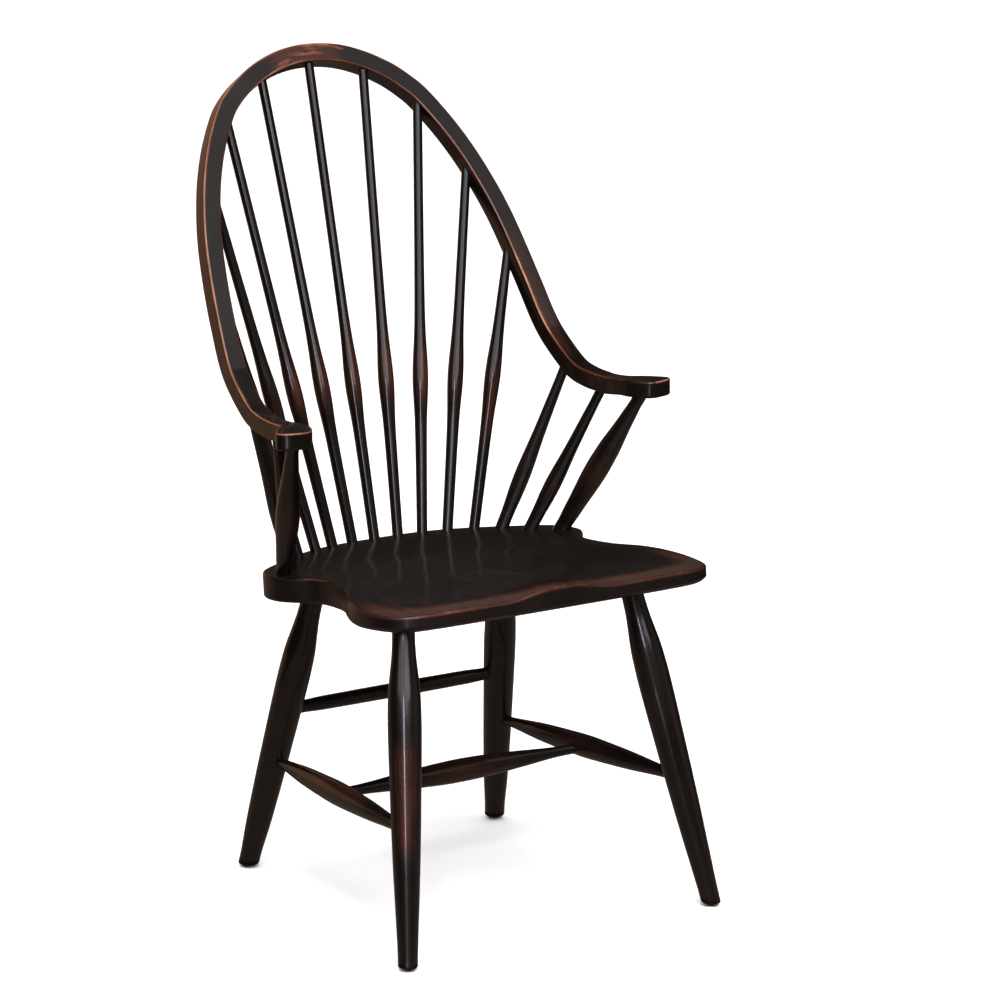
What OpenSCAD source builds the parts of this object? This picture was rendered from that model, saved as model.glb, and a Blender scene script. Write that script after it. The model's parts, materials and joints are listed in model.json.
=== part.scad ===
// Continuous-arm armchair: a bent back bow that runs on into both arms, a carved
// plank seat, nine back spindles, short arm spindles and posts, four turned legs
// and turned stretchers. Millimetres, floor at z = 0, front towards -Y, up +Z.

/* [Seat] */
// Height of the seat rim above the feet, half way along the seat
seat_h = 455; // [445:1:465]
// Thickness of the seat plank
seat_t = 33; // [32:1:38]
// How far the seat tips down towards the back, degrees
seat_tilt = 5; // [4:0.5:6]
// Depth of the carved saddle
dish = 11; // [7:0.5:13]
// Height of the raised middle of the front edge
pommel = 9.5; // [5:0.5:10]
// Height of the roll that runs along behind the front edge
roll = 5; // [2:0.5:6]
// Rounding of the seat edges
seat_edge = 3; // [2:0.5:4]

/* [Back bow and arms] */
// Width of the bow across its face
bow_w = 26; // [24:0.5:27]
// Depth of the bow from front to back
bow_t = 27; // [25:0.5:29]
// Thickness of the arms
arm_t = 24.5; // [23:0.5:26]
// Thickness of the hands at the ends of the arms
hand_t = 23; // [20:0.5:24]
// Lean of the bow's plane from upright, degrees
bow_lean = 31.5; // [31:0.5:32]
// Rounding of the bow edges
bow_edge = 2.5; // [1.5:0.5:4]

/* [Back spindles] */
// Diameter of a back spindle at its swell
spindle_d = 22; // [19:0.5:24]
// Diameter of a back spindle where it enters the bow
spindle_top_d = 13; // [12:0.5:14]
// Diameter of a back spindle where it enters the seat
spindle_foot_d = 15; // [14:0.5:17]
// Height of the swell above the floor
swell_h = 642; // [600:2:680]

/* [Arm spindles and posts] */
// Diameter of a short arm spindle at its swell
short_d = 22.5; // [20:0.5:25]
// Diameter of a short arm spindle where it enters the seat
short_foot_d = 18; // [16:0.5:19]
// Diameter of a short arm spindle where it enters the arm
short_top_d = 13.5; // [12.5:0.5:14.5]
// Diameter of an arm post at its swell
post_d = 32.5; // [29:0.5:35]
// Diameter of an arm post under the hand
post_top_d = 17.5; // [16:0.5:20]
// Diameter of an arm post where it enters the seat
post_foot_d = 21.5; // [20:0.5:23]

/* [Legs] */
// Diameter of a leg at its swell
leg_d = 44.5; // [42:0.5:47]
// Diameter of a leg where it enters the seat
leg_top_d = 30; // [28:0.5:32]
// Diameter of a leg at the foot
leg_foot_d = 26; // [25:0.5:28]
// Distance from the middle to a front foot, sideways
front_foot_x = 239; // [232:1:244]
// Distance from the middle to a back foot, sideways
back_foot_x = 201; // [196:1:208]

/* [Stretchers] */
// Diameter of the side and middle stretchers at their swell
stretcher_d = 32; // [29:0.5:33]
// Diameter of the stretcher ends
stretcher_end_d = 14; // [13:0.5:15]
// Diameter of the plain back stretcher
back_stretcher_d = 20.5; // [18:0.5:21]

/* [Glides] */
// Diameter of the round glide under each foot
glide_d = 11; // [10:0.5:13]
// Height of the glide head under the foot
glide_h = 4; // [3:0.5:5]

/* [Hidden] */
$fn = 48;
// the whole chair is set so that the origin is under the middle of its box
y_mid = -83.2;
tenon_seat = 21;   // spindle and post tenons in the seat
tenon_leg = 17;    // leg tenons in the seat
glue_gap = 1;      // air left at the bottom of each blind hole
clear_out = 14;    // how far the cut for a hole stands out of the wood

paint = [0.10, 0.085, 0.085];
steel = [0.55, 0.55, 0.56];

// ---- small helpers ----
function lerp(a, b, t) = a + (b - a) * t;
function unit(v) = v / norm(v);
function ease(t) = let (c = min(max(t, 0), 1)) c * c * (3 - 2 * c);
function flip(p, side) = [side * p[0], p[1], p[2]];
// smooth curve through a list of points, v counts in points
function cr(a, b, c, d, t) = 0.5 * (2 * b + (c - a) * t + (2 * a - 5 * b + 4 * c - d) * t * t
    + (3 * b - a - 3 * c + d) * t * t * t);
function curve(P, v) = let (n = len(P) - 1, i = min(floor(v), n - 1))
    cr(P[max(i - 1, 0)], P[i], P[i + 1], P[min(i + 2, n)], v - i);

module chair() translate([0, y_mid, glide_h]) children();
// puts something that stands on z = 0 at a and turns it to point at b
module aim(a, b) {
    d = b - a;
    translate(a) rotate([0, acos(d[2] / norm(d)), atan2(d[1], d[0])]) children();
}

// ---- seat plane ----
// rim plane of the seat, as a height over the plan position
function rim(y) = seat_h - y * tan(seat_tilt);
function under(y) = rim(y) - seat_t / cos(seat_tilt);
function on_rim(x, y) = [x, y, rim(y)];

// half outline of the seat from the middle of the back edge round to the front
SEAT_EDGE = [[-45, 239], [0, 240], [45, 239], [88, 232], [126, 217], [161, 196], [194, 172], [225, 147],
    [241, 117], [242, 86], [231, 62], [214.5, 39], [209, 17], [210, -14], [216, -45], [230, -76],
    [245, -112], [253.5, -148], [253.5, -184], [244, -213], [224, -230], [192, -236], [145, -238],
    [95, -239], [45, -239.5], [0, -239.5], [-45, -239.5]];
edge_n = len(SEAT_EDGE) - 3;
edge_steps = 3;
half = [for (i = [0 : edge_n * edge_steps]) curve(SEAT_EDGE, 1 + i / edge_steps)];
outline = concat(half, [for (i = [len(half) - 2 : -1 : 1]) [-half[i][0], half[i][1]]]);
on = len(outline);
function wrap(i) = (i + on) % on;
// inward normal of the outline
function inward(i) = let (t = unit(outline[wrap(i + 1)] - outline[wrap(i - 1)])) [t[1], -t[0]];
seat_c = [0, -10];
INNER = [0.95, 0.905, 0.86, 0.79, 0.71, 0.62, 0.52, 0.41, 0.28, 0.14];

// 1 along the front edge, 0 round the sides and back: for the lower edge, and for the carved top
function fore(q) = ease((-q[1] - 120) / 95);
function fore_top(q) = ease((-q[1] - 65) / 145);
// how far the top lies under the rim plane: s runs from the middle to the outline point q
function drop(p, s, q) =
    let (side = 1 - ease((s - 0.50) / 0.42),
        edge = ease((s - 0.86) / 0.14),
        rise = roll * (ease((s - 0.55) / 0.31) - edge),
        hump = exp(-pow(abs(p[0]) / 55, 3)) * ease((-p[1] - 10) / 130))
    lerp(dish * side, dish - 0.4 * edge - rise, fore_top(q)) - pommel * hump;

function seat_ring(k) =
    k == 0 ? [for (i = [0 : on - 1]) let (q = outline[i], w = inward(i) * (3 + 8 * fore(q))) [q[0] + w[0], q[1] + w[1], -seat_t]]
    : k == 1 ? [for (i = [0 : on - 1]) [outline[i][0], outline[i][1], -seat_t + 2.5 + 5 * fore(outline[i])]]
    : k <= 4 ? let (a = (k - 2) * 45)
        [for (i = [0 : on - 1]) let (q = outline[i], w = inward(i), m = seat_edge * (1 - cos(a)))
            [q[0] + m * w[0], q[1] + m * w[1], -drop(q, 1, q) - seat_edge * (1 - sin(a))]]
    : let (s = INNER[k - 5])
        [for (i = [0 : on - 1]) let (q = outline[i], p = seat_c + s * (q - seat_c))
            [p[0], p[1], -drop(p, s, q)]];
rings = 5 + len(INNER);

module seat_plank() {
    pts = concat([for (k = [0 : rings - 1]) each seat_ring(k)],
        [[seat_c[0], seat_c[1], -drop(seat_c, 0, [0, 240])]]);
    rotate([-seat_tilt, 0, 0])
        polyhedron(points = pts, faces = concat(
            [[for (i = [on - 1 : -1 : 0]) i]],
            [for (k = [0 : rings - 2]) for (i = [0 : on - 1]) each
                [[k * on + i, k * on + wrap(i + 1), (k + 1) * on + i],
                 [k * on + wrap(i + 1), (k + 1) * on + wrap(i + 1), (k + 1) * on + i]]],
            [for (i = [0 : on - 1]) [(rings - 1) * on + i, (rings - 1) * on + wrap(i + 1), rings * on]]),
            convexity = 4);
}

// ---- bow ----
// middle line of the bow's stock from the top of the back to the right hand
BOW = [[0, 402, 1081.5], [40, 400.5, 1078], [78, 395, 1067], [113, 385, 1050], [138, 376, 1032],
    [157, 364.5, 1013], [182, 343, 976.5], [201.5, 320.5, 939.5], [216, 298, 902.5], [227, 275.5, 866],
    [234.5, 253, 829], [240, 231, 793], [244, 210.5, 761], [248, 186, 724], [251, 160.5, 698],
    [254, 117, 669], [256, 86, 660.5], [258, 46, 658], [259, 10, 658.5], [260, -20, 660], [260, -49, 661]];
bow_n = len(BOW) - 1;
function bow_at(v) = v < 1 ? cr(flip(BOW[1], -1), BOW[0], BOW[1], BOW[2], v) : curve(BOW, v);
// the stock thins a little where it turns into the arm
function bow_h(v) = lerp(bow_t, arm_t, ease((v - 12) / 5));
function bow_dir(v) = unit(bow_at(min(v + 0.02, bow_n)) - bow_at(max(v - 0.02, 0)));
// the face that looks forward on the back turns up along the arms
function bow_up(v) = let (t = bow_dir(v), side = norm([t[1], t[2]]),
        a = side < 0.3 ? bow_lean : max(bow_lean, atan2(-t[1], -t[2])),
        r = [0, -cos(a), sin(a)])
    unit(r - (r * t) * t);
// half widths towards the inside and the outside of the arms, against y
function arm_in(y) = lookup(y, [[-51.5, -9.5], [-50.5, -5.8], [-48.5, -2.5], [-44, 1.7], [-34, 7.6], [-20, 12.6], [0, 13.9], [20, 13.6], [60, bow_w / 2]]);
function arm_out(y) = lookup(y, [[-51.5, 12], [-51, 17], [-49.6, 23.5], [-47.4, 31], [-44, 38], [-39.8, 43], [-35, 45.3], [-30, 44.6],
    [-19, 38.5], [-7, 29.5], [5, 19.8], [13, 15.4], [24, 13.7], [33, 13.2], [60, bow_w / 2]]);
ARM_Y = [24, 13, 5, -7, -19, -30, -35, -39.8, -44, -47.4, -49.6, -51, -51.5];
// 0 along the arm, 1 over the hand
function hand(y) = ease((40 - y) / 50);
bow_steps = 3;
last_v = 17 + 1 / 3;
BOW_V = [for (i = [0 : bow_steps * last_v + 0.01]) i / bow_steps];

function section(p, t, n, wi, wo, thick) =
    let (b = cross(t, n), h = thick / 2, r = min(bow_edge, (wi + wo) * 0.3))
    [for (c = [[1, 1, 0], [-1, 1, 90], [-1, -1, 180], [1, -1, 270]]) for (a = [0, 45, 90])
        let (u = (c[0] > 0 ? wo : -wi) - c[0] * r + r * cos(c[2] + a),
             w = c[1] * (h - r) + r * sin(c[2] + a))
        p - b * u + n * w];
// a point of the arm's middle line at a given y
function arm_point(y) = [lerp(258, 260, (46 - y) / 60), y, lookup(y, [[-49, 661], [10, 659], [46, 658]]) + 3.6 * hand(y)];

bow_right = concat(
    [for (v = BOW_V) section(bow_at(v), bow_dir(v), bow_up(v), bow_w / 2, bow_w / 2, bow_h(v))],
    [for (y = ARM_Y) section(arm_point(y), [0, -1, 0], [0, 0, 1], arm_in(y), arm_out(y), lerp(arm_t, hand_t, hand(y)))]);
bn = len(bow_right);
m = 12;

module bow_stock() {
    rows = concat([for (i = [bn - 1 : -1 : 1]) [for (p = bow_right[i]) flip(p, -1)]], bow_right);
    rn = len(rows);
    polyhedron(points = [for (r = rows) each r], faces = concat(
        [[for (j = [0 : m - 1]) j]],
        [for (i = [0 : rn - 2]) for (j = [0 : m - 1]) let (k = (j + 1) % m) each
            [[i * m + j, (i + 1) * m + j, i * m + k],
             [i * m + k, (i + 1) * m + j, (i + 1) * m + k]]],
        [[for (j = [m - 1 : -1 : 0]) (rn - 1) * m + j]]), convexity = 6);
}

// ---- where the turned pieces stand ----
// back spindles, from the middle one outwards: place in the seat, and the point on the
// bow's middle line that they run to
BACK_SEAT = [[0, 232], [36.5, 230], [72, 223.5], [105.5, 211], [141, 198]];
BACK_BOW = [[0, 399.5, 1080.5], [81, 389, 1065], [152.5, 361, 1018], [203.5, 314, 934], [233.5, 251, 831]];
function side_of(i) = i < 5 ? -1 : 1;
function back_a(i) = let (p = BACK_SEAT[abs(i - 5)]) flip(on_rim(p[0], p[1]), side_of(i));
function back_b(i) = flip(BACK_BOW[abs(i - 5)], side_of(i));
// arm spindles and posts on the right side
rear_a = on_rim(169, 171);
rear_b = [253, 131.5, 679];
front_a = on_rim(191, 133);
front_b = [258, 50, 658];
post_a = on_rim(220.5, 100);
post_b = [274.5, -21, 660];
// legs, on the right side: foot, and the point where the axis meets the underside
function leg_line(foot, lean, z) = foot + [lean[0], lean[1], 1] * z;
front_foot = [front_foot_x, -240, 0];
front_lean = [-0.145, 0.253];
back_foot = [back_foot_x, 240, 0];
back_lean = [-0.126, -0.247];
function meet_z(foot, lean) = (under(foot[1])) / (1 + lean[1] * tan(seat_tilt));
front_top = leg_line(front_foot, front_lean, meet_z(front_foot, front_lean));
back_top = leg_line(back_foot, back_lean, meet_z(back_foot, back_lean));
// stretchers run between leg axes
side_f = leg_line(front_foot, front_lean, 169.5);
side_b = leg_line(back_foot, back_lean, 157);
mid_r = lerp(side_b, side_f, 0.477) - [0, 0, 3.2];
rear_r = leg_line(back_foot, back_lean, 230.2);

// ---- turned pieces ----
// smooth line through the given [distance, diameter] pairs, with one point more between each two
function slope(P, k) = k == 0 || k == len(P) - 1 ? 0 : (P[k + 1][1] - P[k - 1][1]) / (P[k + 1][0] - P[k - 1][0]);
function between(P, k) = let (w = P[k + 1][0] - P[k][0])
    [(P[k][0] + P[k + 1][0]) / 2, (P[k][1] + P[k + 1][1]) / 2 + w * (slope(P, k) - slope(P, k + 1)) / 8];
function smooth_line(P) = [for (k = [0 : len(P) - 1]) each k < len(P) - 1 ? [P[k], between(P, k)] : [P[k]]];

// body of length L over z = 0, with a tenon of the end diameter past each end
module turning(L, P, ta, tb) {
    n = len(P) - 1;
    rotate_extrude() polygon(concat(
        [[0, -ta], [P[0][1] / 2, -ta]],
        [for (p = smooth_line(P)) [p[1] / 2, p[0]]],
        [[P[n][1] / 2, L + tb], [0, L + tb]]));
}
module peg(a, b, P, ta, tb) aim(a, b) turning(norm(b - a), P, ta, tb);
// the hole for the end of such a piece: from a, depth into the wood away from b
module hole(a, b, d, depth)
    aim(a, b) translate([0, 0, -depth - glue_gap]) cylinder(d = d, h = depth + glue_gap + clear_out);

// profiles, as [distance from the first end, diameter]
// share of the swell at a height under and over it
LOW = [[-140, 0.07], [-100, 0.16], [-70, 0.26], [-50, 0.41], [-30, 0.69], [-17, 0.89]];
HIGH = [[12, 0.95], [22, 0.87], [32, 0.74], [42, 0.6], [53, 0.47], [65, 0.36], [80, 0.26], [100, 0.18], [140, 0.11], [190, 0.05]];
function back_profile(a, b) = let (k = norm(b - a) / (b[2] - a[2]), L = norm(b - a), z0 = swell_h - a[2])
    concat([[10, spindle_foot_d]],
        [for (p = LOW) if ((z0 + p[0]) * k > 30) [(z0 + p[0]) * k, lerp(spindle_foot_d, spindle_d, p[1])]],
        [[z0 * k, spindle_d]],
        [for (p = HIGH) if ((z0 + p[0]) * k < L - 70) [(z0 + p[0]) * k, lerp(spindle_top_d, spindle_d, p[1])]],
        [[L - 34, spindle_top_d]]);
function scaled(P, L) = [for (p = P) [p[0] * L, p[1]]];
function short_profile(L) = scaled([[0.05, short_foot_d], [0.12, short_foot_d + 0.8], [0.22, lerp(short_foot_d, short_d, 0.8)],
    [0.31, short_d], [0.38, short_d - 1], [0.47, lerp(short_top_d, short_d, 0.63)], [0.56, lerp(short_top_d, short_d, 0.4)],
    [0.7, lerp(short_top_d, short_d, 0.2)], [0.82, short_top_d + 0.5], [0.86, short_top_d]], L);
function post_profile(L) = scaled([[0.05, post_foot_d], [0.12, lerp(post_foot_d, post_d, 0.22)], [0.2, lerp(post_foot_d, post_d, 0.4)],
    [0.28, lerp(post_foot_d, post_d, 0.66)], [0.37, post_d - 1], [0.45, post_d], [0.52, post_d - 0.8], [0.6, lerp(post_top_d, post_d, 0.8)],
    [0.68, lerp(post_top_d, post_d, 0.54)], [0.76, lerp(post_top_d, post_d, 0.3)], [0.84, lerp(post_top_d, post_d, 0.12)], [0.9, post_top_d]], L);
// legs, from the seat down
function leg_profile(L, foot_d) = [[8, leg_top_d], [28, leg_top_d + 0.3], [48, lerp(leg_top_d, leg_d, 0.15)], [65, lerp(leg_top_d, leg_d, 0.39)],
    [82, lerp(leg_top_d, leg_d, 0.66)], [98, lerp(leg_top_d, leg_d, 0.86)], [118, leg_d - 0.6], [140, leg_d], [170, leg_d - 0.8],
    [205, lerp(foot_d, leg_d, 0.87)], [245, lerp(foot_d, leg_d, 0.77)], [285, lerp(foot_d, leg_d, 0.66)], [325, lerp(foot_d, leg_d, 0.52)],
    [365, lerp(foot_d, leg_d, 0.34)], [L - 20, foot_d + 0.8], [L, foot_d]];
function side_profile(L) = scaled([[0.07, stretcher_end_d], [0.13, stretcher_end_d + 2.8], [0.25, lerp(stretcher_end_d, stretcher_d, 0.6)],
    [0.4, stretcher_d - 2], [0.5, stretcher_d], [0.6, stretcher_d - 2], [0.75, lerp(stretcher_end_d + 2, stretcher_d, 0.55)],
    [0.87, stretcher_end_d + 4.2], [0.93, stretcher_end_d + 2]], L);
function middle_profile(L) = scaled([[0.07, stretcher_end_d], [0.14, stretcher_end_d + 2.2], [0.27, lerp(stretcher_end_d, stretcher_d, 0.55)],
    [0.41, stretcher_d - 1.6], [0.5, stretcher_d], [0.59, stretcher_d - 1.6], [0.73, lerp(stretcher_end_d, stretcher_d, 0.55)],
    [0.86, stretcher_end_d + 2.2], [0.93, stretcher_end_d]], L);
function plain_profile(L) = scaled([[0.08, back_stretcher_d - 3], [0.16, back_stretcher_d - 1], [0.5, back_stretcher_d],
    [0.84, back_stretcher_d - 1], [0.92, back_stretcher_d - 3]], L);

// tenon past the middle line of the stock that a piece runs to
past_bow = 3;
past_hand = 4;
past_leg = 4;
past_side = 2;

module back_spindle(i) { a = back_a(i); b = back_b(i); peg(a, b, back_profile(a, b), tenon_seat, past_bow); }
module arm_spindle(a, b) peg(a, b, short_profile(norm(b - a)), tenon_seat, past_bow);
module arm_post(a, b) peg(a, b, post_profile(norm(b - a)), tenon_seat, past_hand);

// the foot end is cut level, and its edge is eased
module leg(foot, top, foot_d) difference() {
    intersection() {
        peg(top, foot, leg_profile(norm(foot - top), foot_d), tenon_leg, 12);
        translate(foot) cylinder(r1 = foot_d / 2 - 2.5, r2 = foot_d / 2 - 2.5 + 600, h = 600);
    }
    children();
}
module glide(foot) translate(foot) {
    translate([0, 0, -glide_h]) cylinder(d1 = glide_d - 2, d2 = glide_d, h = glide_h);
    cylinder(d = 2.4, h = 12);
}
module glide_hole(foot) translate(foot) cylinder(d = 2.4, h = 13);

// holes in a leg on the right side
module front_leg_holes() {
    hole(side_f, side_b, stretcher_end_d + 2, past_leg);
    glide_hole(front_foot);
}
module back_leg_holes() {
    hole(side_b, side_f, stretcher_end_d, past_leg);
    hole(rear_r, flip(rear_r, -1), back_stretcher_d - 3, past_leg);
    glide_hole(back_foot);
}
module mirrored(side) scale([side, 1, 1]) children();
module side_stretcher() difference() {
    peg(side_b, side_f, side_profile(norm(side_f - side_b)), past_leg, past_leg);
    hole(mid_r, flip(mid_r, -1), stretcher_end_d, past_side);
}

// ---- the pieces ----
module seat() color(paint) chair() difference() {
    translate([0, 0, seat_h]) seat_plank();
    for (i = [1 : 9]) hole(back_a(i), back_b(i), spindle_foot_d, tenon_seat);
    for (s = [-1, 1]) {
        hole(flip(rear_a, s), flip(rear_b, s), short_foot_d, tenon_seat);
        hole(flip(front_a, s), flip(front_b, s), short_foot_d, tenon_seat);
        hole(flip(post_a, s), flip(post_b, s), post_foot_d, tenon_seat);
        hole(flip(front_top, s), flip(front_foot, s), leg_top_d, tenon_leg);
        hole(flip(back_top, s), flip(back_foot, s), leg_top_d, tenon_leg);
    }
}
module bow() color(paint) chair() difference() {
    bow_stock();
    for (i = [1 : 9]) hole(back_b(i), back_a(i), spindle_top_d, past_bow);
    for (s = [-1, 1]) {
        hole(flip(rear_b, s), flip(rear_a, s), short_top_d, past_bow);
        hole(flip(front_b, s), flip(front_a, s), short_top_d, past_bow);
        hole(flip(post_b, s), flip(post_a, s), post_top_d, past_hand);
    }
}
module spindle(i) color(paint) chair() back_spindle(i);
module side_spindle(a, b, s) color(paint) chair() arm_spindle(flip(a, s), flip(b, s));
module post(s) color(paint) chair() arm_post(flip(post_a, s), flip(post_b, s));
module front_leg(s) color(paint) chair() leg(flip(front_foot, s), flip(front_top, s), leg_foot_d) mirrored(s) front_leg_holes();
module back_leg(s) color(paint) chair() leg(flip(back_foot, s), flip(back_top, s), leg_foot_d + 2) mirrored(s) back_leg_holes();
module stretcher(s) color(paint) chair() mirrored(s) side_stretcher();
module stretcher_middle() color(paint) chair() peg(flip(mid_r, -1), mid_r, middle_profile(2 * mid_r[0]), past_side, past_side);
module stretcher_back() color(paint) chair() peg(flip(rear_r, -1), rear_r, plain_profile(2 * rear_r[0]), past_leg, past_leg);
module glides() color(steel) chair() for (s = [-1, 1]) { glide(flip(front_foot, s)); glide(flip(back_foot, s)); }

seat();
bow();
spindle(1);  // back_spindle_1
spindle(2);  // back_spindle_2
spindle(3);  // back_spindle_3
spindle(4);  // back_spindle_4
spindle(5);  // back_spindle_5
spindle(6);  // back_spindle_6
spindle(7);  // back_spindle_7
spindle(8);  // back_spindle_8
spindle(9);  // back_spindle_9
side_spindle(rear_a, rear_b, -1);  // arm_spindle_left_rear
side_spindle(front_a, front_b, -1);  // arm_spindle_left_front
side_spindle(rear_a, rear_b, 1);  // arm_spindle_right_rear
side_spindle(front_a, front_b, 1);  // arm_spindle_right_front
post(-1);  // arm_post_left
post(1);  // arm_post_right
front_leg(-1);  // leg_front_left
front_leg(1);  // leg_front_right
back_leg(-1);  // leg_back_left
back_leg(1);  // leg_back_right
stretcher(-1);  // stretcher_left
stretcher(1);  // stretcher_right
stretcher_middle();
stretcher_back();
glides();
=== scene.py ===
import math

import bpy
import numpy as np
from mathutils import Matrix, Vector
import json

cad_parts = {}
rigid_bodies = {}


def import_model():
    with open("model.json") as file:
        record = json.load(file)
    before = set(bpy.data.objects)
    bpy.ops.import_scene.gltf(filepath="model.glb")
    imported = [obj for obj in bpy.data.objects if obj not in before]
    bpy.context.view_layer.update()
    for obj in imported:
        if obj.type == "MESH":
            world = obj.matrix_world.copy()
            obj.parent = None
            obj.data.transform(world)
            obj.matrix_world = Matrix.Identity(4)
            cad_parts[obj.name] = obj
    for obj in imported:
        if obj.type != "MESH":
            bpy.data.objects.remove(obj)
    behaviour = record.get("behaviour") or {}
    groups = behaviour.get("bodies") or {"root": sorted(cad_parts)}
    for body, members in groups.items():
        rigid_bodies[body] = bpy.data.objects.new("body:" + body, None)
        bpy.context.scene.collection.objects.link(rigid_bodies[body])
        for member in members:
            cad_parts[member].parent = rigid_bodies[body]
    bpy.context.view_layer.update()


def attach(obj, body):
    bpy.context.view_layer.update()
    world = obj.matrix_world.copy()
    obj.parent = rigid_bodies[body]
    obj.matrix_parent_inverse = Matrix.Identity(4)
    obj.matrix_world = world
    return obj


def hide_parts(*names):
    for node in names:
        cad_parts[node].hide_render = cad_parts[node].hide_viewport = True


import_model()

# ---- numbers of the construction, in millimetres, before the whole chair is set on its glides ----
Y_MID, GLIDE = -83.2, 4.0
SEAT_H, SEAT_T, TILT = 455.0, 33.0, math.radians(5.0)
DISH, POMMEL, ROLL, SEAT_EDGE_R = 11.0, 9.5, 5.0, 3.0
BOW_W, BOW_T, ARM_T, HAND_T, BOW_LEAN, BOW_EDGE = 26.0, 27.0, 24.5, 23.0, 31.5, 2.5


def lerp(a, b, t):
    return a + (b - a) * t


def ease(t):
    c = np.clip(t, 0.0, 1.0)
    return c * c * (3 - 2 * c)


def unit(v):
    v = np.asarray(v, float)
    return v / np.linalg.norm(v)


def cr(a, b, c, d, t):
    return 0.5 * (2 * b + (c - a) * t + (2 * a - 5 * b + 4 * c - d) * t * t + (3 * b - a - 3 * c + d) * t ** 3)


def curve(P, v):
    n = len(P) - 1
    i = min(int(math.floor(v)), n - 1)
    return cr(P[max(i - 1, 0)], P[i], P[i + 1], P[min(i + 2, n)], v - i)


def rim(y):
    return SEAT_H - y * math.tan(TILT)


def under(y):
    return rim(y) - SEAT_T / math.cos(TILT)


def on_rim(x, y):
    return np.array([x, y, rim(y)], float)


def flip(p, side):
    return np.array([side * p[0], p[1], p[2]], float)


EDGE = np.array([[-45, 239], [0, 240], [45, 239], [88, 232], [126, 217], [161, 196], [194, 172], [225, 147],
                 [241, 117], [242, 86], [231, 62], [214.5, 39], [209, 17], [210, -14], [216, -45], [230, -76],
                 [245, -112], [253.5, -148], [253.5, -184], [244, -213], [224, -230], [192, -236], [145, -238],
                 [95, -239], [45, -239.5], [0, -239.5], [-45, -239.5]], float)
BOW = np.array([[0, 402, 1081.5], [40, 400.5, 1078], [78, 395, 1067], [113, 385, 1050], [138, 376, 1032],
                [157, 364.5, 1013], [182, 343, 976.5], [201.5, 320.5, 939.5], [216, 298, 902.5], [227, 275.5, 866],
                [234.5, 253, 829], [240, 231, 793], [244, 210.5, 761], [248, 186, 724], [251, 160.5, 698],
                [254, 117, 669], [256, 86, 660.5], [258, 46, 658], [259, 10, 658.5], [260, -20, 660],
                [260, -49, 661]], float)


def bow_at(v):
    if v < 1:
        return cr(flip(BOW[1], -1), BOW[0], BOW[1], BOW[2], v)
    return curve(BOW, v)


def bow_dir(v):
    return unit(bow_at(min(v + 0.02, 20)) - bow_at(max(v - 0.02, 0)))


def bow_up(v):
    t = bow_dir(v)
    a = BOW_LEAN
    if math.hypot(t[1], t[2]) >= 0.3:
        a = max(BOW_LEAN, math.degrees(math.atan2(-t[1], -t[2])))
    a = math.radians(a)
    r = np.array([0, -math.cos(a), math.sin(a)])
    return unit(r - r.dot(t) * t)


def bow_h(v):
    return lerp(BOW_T, ARM_T, float(ease((v - 12) / 5)))


# ---- meshes ----
# Each piece is a grid of rows. "wood" is its place along and across the grain in metres, "wear" is how far
# the paint is rubbed off, "thin" is how thin the paint is.
def hashed(i, seed):
    n = (i[..., 0] * 73856093) ^ (i[..., 1] * 19349663) ^ (i[..., 2] * 83492791) ^ (seed * 7919 + 17)
    n = (n ^ (n >> 13)) * 1274126177 & 0x7FFFFFFF
    return ((n ^ (n >> 16)) & 0xFFFF) / 32767.5 - 1.0


def vnoise(p, seed=0):
    """Smooth noise from -1 to 1 at points p."""
    p = np.asarray(p, float)
    i = np.floor(p).astype(np.int64)
    f = p - i
    f = f * f * (3 - 2 * f)
    out = 0.0
    for dx in (0, 1):
        for dy in (0, 1):
            for dz in (0, 1):
                w = (f[..., 0] if dx else 1 - f[..., 0]) * (f[..., 1] if dy else 1 - f[..., 1]) * (f[..., 2] if dz else 1 - f[..., 2])
                out = out + w * hashed(i + np.array([dx, dy, dz]), seed)
    return out


def fbm(p, seed=0, octaves=3):
    p = np.asarray(p, float)
    return sum(vnoise(p * 2 ** k, seed + 31 * k) * 0.5 ** k for k in range(octaves)) / sum(0.5 ** k for k in range(octaves))


def line_noise(s, seed, size):
    s = np.asarray(s, float)
    z = np.zeros_like(s)
    return fbm(np.stack([s / size, z + 0.37 * seed, z + 0.5], -1), seed)


def band(x, lo, hi, soft):
    return ease((x - lo) / soft) * ease((hi - x) / soft)


PIECES = []


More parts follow.
